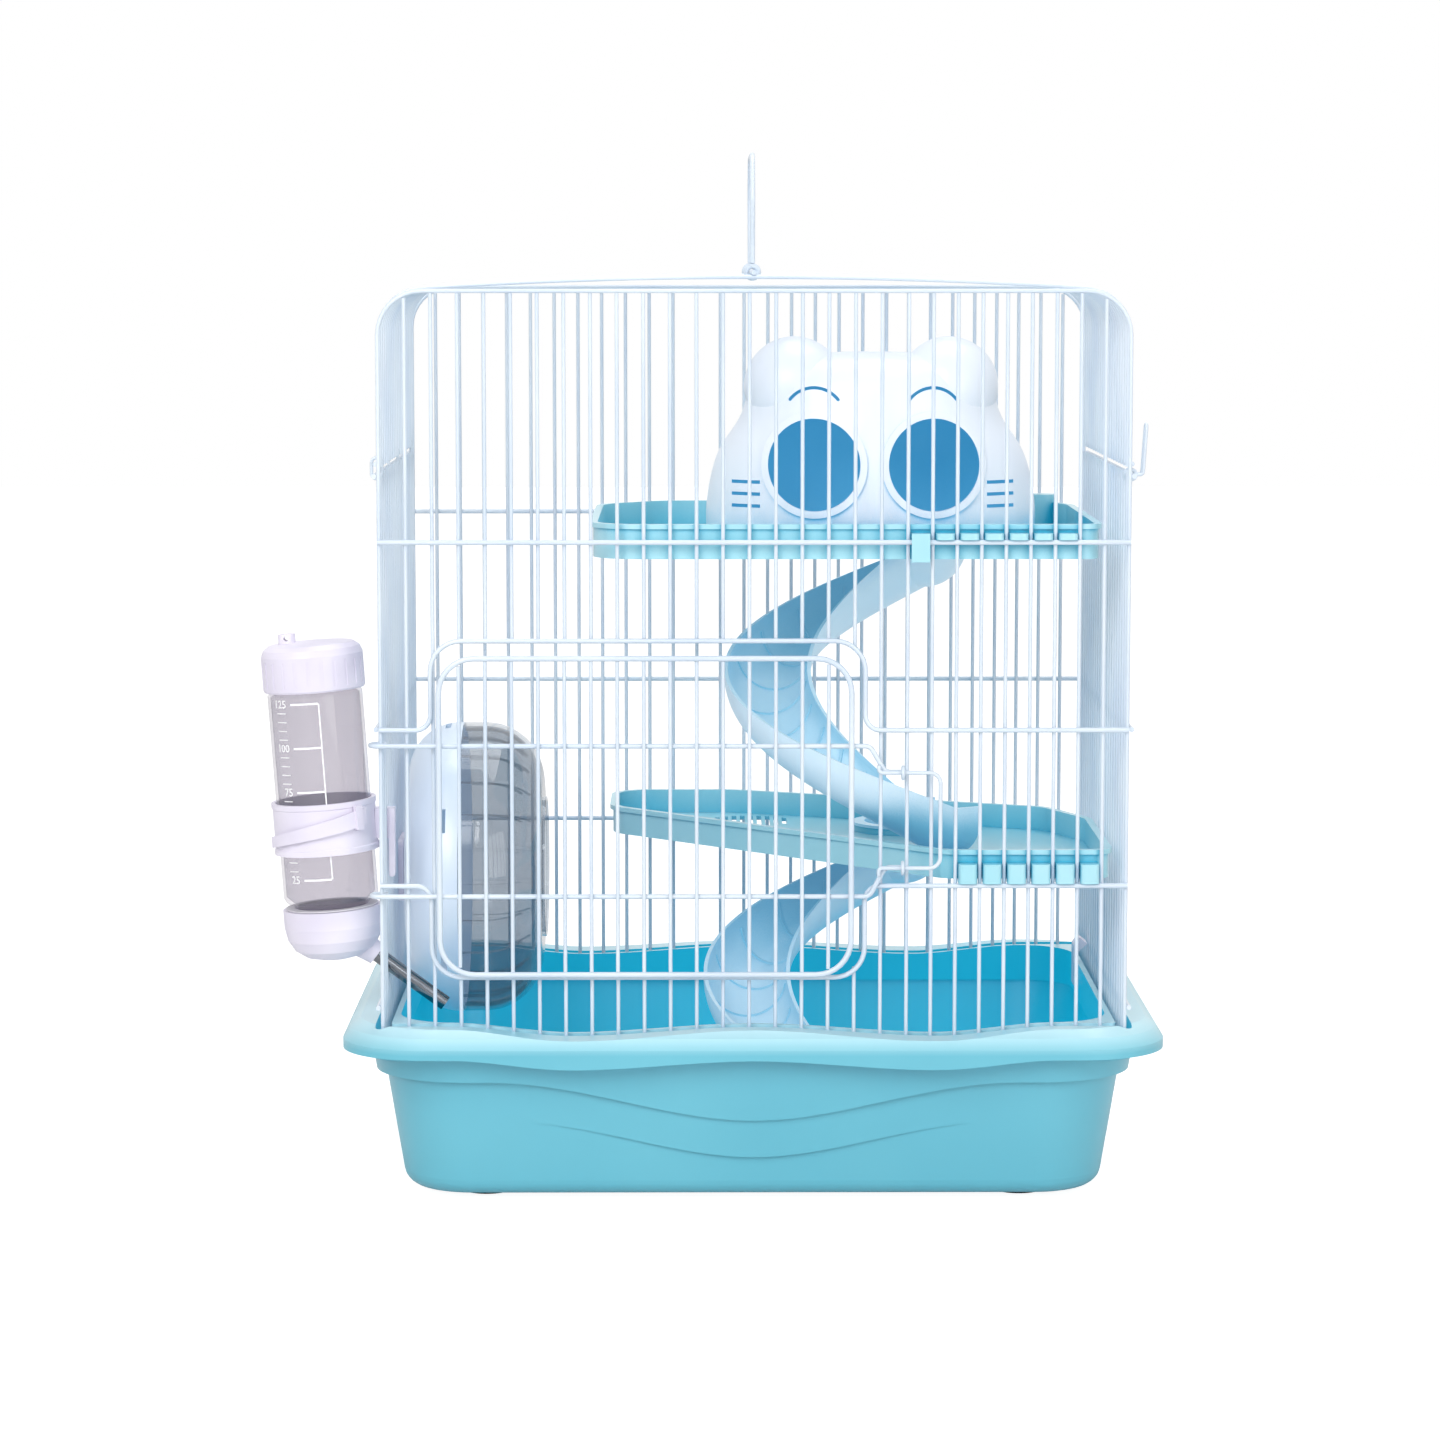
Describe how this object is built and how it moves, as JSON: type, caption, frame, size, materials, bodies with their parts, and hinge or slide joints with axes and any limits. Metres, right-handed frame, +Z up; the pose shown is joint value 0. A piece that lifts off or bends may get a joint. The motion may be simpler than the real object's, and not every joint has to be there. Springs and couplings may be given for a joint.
{
  "type": "hamster cage",
  "caption": "Wire hamster cage on a deep plastic tray, with an opening roof hood, a front door, shelves, spiral slides, a cat-head house, a drum wheel and a water bottle.",
  "frame": {"origin": "bottom centre of the whole part's bounding box, on the plane that the feet stand on", "axes": "+Z up, -Y towards the side with the door, +X to the right seen from the door side; the bottle hangs at -X"},
  "size_m": [0.4194, 0.274, 0.4863],
  "materials": {
    "white_wire": "white powder-coated steel wire",
    "rim_plastic": "moulded blue-green plastic, slightly translucent",
    "shelf_plastic": "pale aqua moulded plastic",
    "slide_plastic": "pale blue moulded plastic",
    "house_plastic": "near-white moulded plastic",
    "clip_plastic": "white moulded plastic",
    "wheel_plastic": "pale blue moulded plastic",
    "clear_plastic": "clear moulded plastic",
    "foot_rubber": "black rubber",
    "seal_rubber": "pale rubber",
    "steel": "drawn steel tube"
  },
  "bodies": {
    "tray": {"tray": "rim_plastic", "tray_feet": "foot_rubber", "tray_clips": "clip_plastic"},
    "cage": {"front_frame_wire": "white_wire", "front_bars": "white_wire", "front_cross_wires": "white_wire", "back_frame_wire": "white_wire", "back_bars": "white_wire", "back_cross_wires": "white_wire", "left_bars": "white_wire", "left_cross_wires": "white_wire", "right_bars": "white_wire", "right_cross_wires": "white_wire", "hinge_rings": "white_wire", "upper_shelf": "shelf_plastic", "lower_shelf": "shelf_plastic", "upper_slide": "slide_plastic", "lower_slide": "slide_plastic", "upper_slide_ring": "slide_plastic", "lower_slide_ring": "slide_plastic", "wheel_axle": "steel", "wheel_hub_cap": "clip_plastic", "wheel_mount_plate": "clip_plastic", "wheel_mount_nut": "clip_plastic", "strap_ring": "clip_plastic", "strap_hook": "clip_plastic"},
    "hood": {"hood_hoops": "white_wire", "hood_cross_wires": "white_wire"},
    "handle": {"handle": "white_wire"},
    "roof_latch": {"roof_latch": "white_wire"},
    "door": {"door_frame_wire": "white_wire", "door_bars": "white_wire", "door_hinge_wires": "white_wire"},
    "door_latch": {"door_latch": "white_wire"},
    "wheel": {"wheel_back_half": "wheel_plastic", "wheel_clear_half": "clear_plastic"},
    "bottle": {"bottle_body": "clear_plastic", "bottle_seal": "seal_rubber", "bottle_foot_cap": "clip_plastic", "spout_tube": "steel"},
    "fill_cap": {"bottle_fill_cap": "clip_plastic"},
    "spout_ball": {"spout_ball": "steel"},
    "house": {"house_front": "house_plastic", "house_back": "house_plastic"}
  },
  "joints": [
    {"name": "tray_lift", "type": "slide", "parent": "tray", "child": "cage", "axis": [0, 0, 1], "range_m": [0, 0.08]},
    {"name": "hood_hinge", "type": "hinge", "parent": "cage", "child": "hood", "pos_m": [-0.15438, 0, 0.343], "axis": [0, -1, 0], "range_deg": [0, 105]},
    {"name": "handle_swing", "type": "hinge", "parent": "hood", "child": "handle", "pos_m": [0.01866, 0, 0.43019], "axis": [0, 1, 0], "range_deg": [-80, 80]},
    {"name": "roof_latch_turn", "type": "hinge", "parent": "cage", "child": "roof_latch", "pos_m": [0.19171, 0, 0.338], "axis": [0, 1, 0], "range_deg": [0, 95]},
    {"name": "door_hinge", "type": "hinge", "parent": "cage", "child": "door", "pos_m": [-0.15234, -0.117, 0.18], "axis": [0, 0, -1], "range_deg": [0, 110]},
    {"name": "door_latch_slide", "type": "slide", "parent": "door", "child": "door_latch", "axis": [-1, 0, 0], "range_m": [0, 0.0065]},
    {"name": "wheel_spin", "type": "hinge", "parent": "cage", "child": "wheel", "pos_m": [-0.11424, -0.00585, 0.143], "axis": [1, 0, 0], "continuous": true},
    {"name": "bottle_lift", "type": "slide", "parent": "cage", "child": "bottle", "axis": [-0.0698, 0, 0.9976], "range_m": [0, 0.02]},
    {"name": "fill_cap_pull", "type": "slide", "parent": "bottle", "child": "fill_cap", "axis": [-0.0698, 0, 0.9976], "range_m": [0, 0.03]},
    {"name": "spout_ball_lift", "type": "slide", "parent": "bottle", "child": "spout_ball", "axis": [-0.8056, 0, 0.5924], "range_m": [0, 0.0015]},
    {"name": "house_lift", "type": "slide", "parent": "cage", "child": "house", "axis": [0, 0, 1], "range_m": [0, 0.01]}
  ]
}
